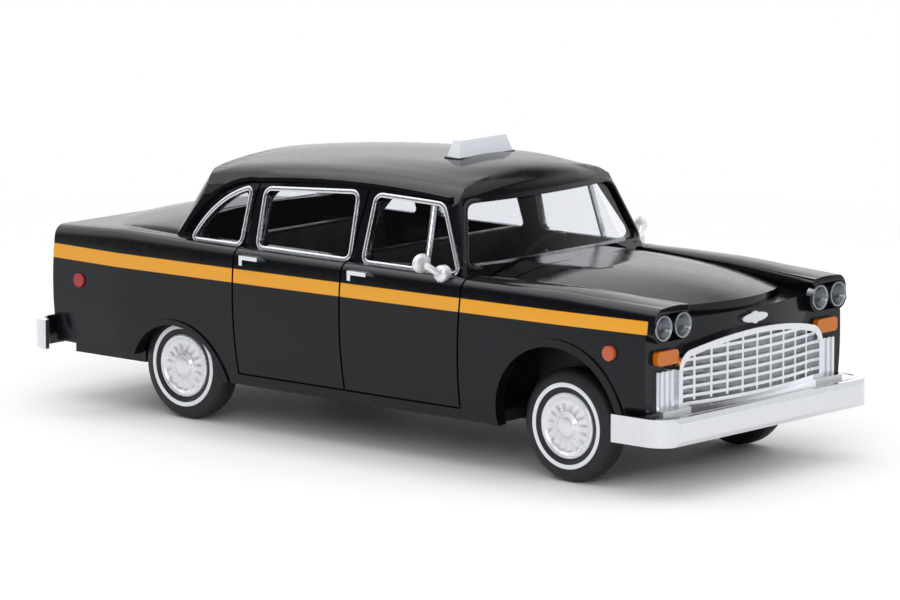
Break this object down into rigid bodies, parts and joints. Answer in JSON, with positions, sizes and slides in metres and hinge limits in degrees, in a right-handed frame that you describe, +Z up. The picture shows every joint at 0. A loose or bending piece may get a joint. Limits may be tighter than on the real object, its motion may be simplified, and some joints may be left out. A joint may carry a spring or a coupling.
{
  "type": "scale model taxi car",
  "caption": "Small moulded plastic scale model of a four-door taxi saloon with a clear glazed cabin and a roof sign, rolling freely on pinned wheels",
  "frame": {"origin": "middle of the model between the bumpers, on the ground under the tyres", "axes": "X forward, Y to the model's left, Z up"},
  "size_m": [0.0588, 0.0244, 0.0206],
  "materials": {
    "body_black": "gloss",
    "clear_glazing": "gloss",
    "tub_black": "satin",
    "chassis_black": "satin",
    "plating": "polished",
    "lamp_clear": "gloss",
    "orange_lens": "gloss",
    "red_lens": "gloss",
    "sign_white": "gloss",
    "steel_pin": "satin",
    "tyre_black": "satin"
  },
  "bodies": {
    "car": {"body_shell": "body_black", "glazing": "clear_glazing", "seat_tub": "tub_black", "steering_wheel": "tub_black", "chassis": "chassis_black", "front_bumper": "plating", "rear_bumper": "plating", "grille": "plating", "nose_emblem": "plating", "headlamps_left": "lamp_clear", "headlamps_right": "lamp_clear", "turn_signal_left": "orange_lens", "turn_signal_right": "orange_lens", "tail_lamps_left": "red_lens", "tail_lamps_right": "red_lens", "front_side_markers": "orange_lens", "rear_side_markers": "red_lens", "mirror_left": "plating", "mirror_right": "plating", "door_handles": "plating", "roof_sign": "sign_white"},
    "front_wheelset": {"front_axle": "steel_pin", "front_tyre_left": "tyre_black", "front_tyre_right": "tyre_black", "front_wheel_cap_left": "plating", "front_wheel_cap_right": "plating"},
    "rear_wheelset": {"rear_axle": "steel_pin", "rear_tyre_left": "tyre_black", "rear_tyre_right": "tyre_black", "rear_wheel_cap_left": "plating", "rear_wheel_cap_right": "plating"}
  },
  "joints": [
    {"name": "front_axle_spin", "type": "hinge", "parent": "car", "child": "front_wheelset", "pos_m": [0.0197, 0, 0.0038], "axis": [0, 1, 0], "continuous": true},
    {"name": "rear_axle_spin", "type": "hinge", "parent": "car", "child": "rear_wheelset", "pos_m": [-0.0153, 0, 0.0038], "axis": [0, 1, 0], "continuous": true}
  ]
}
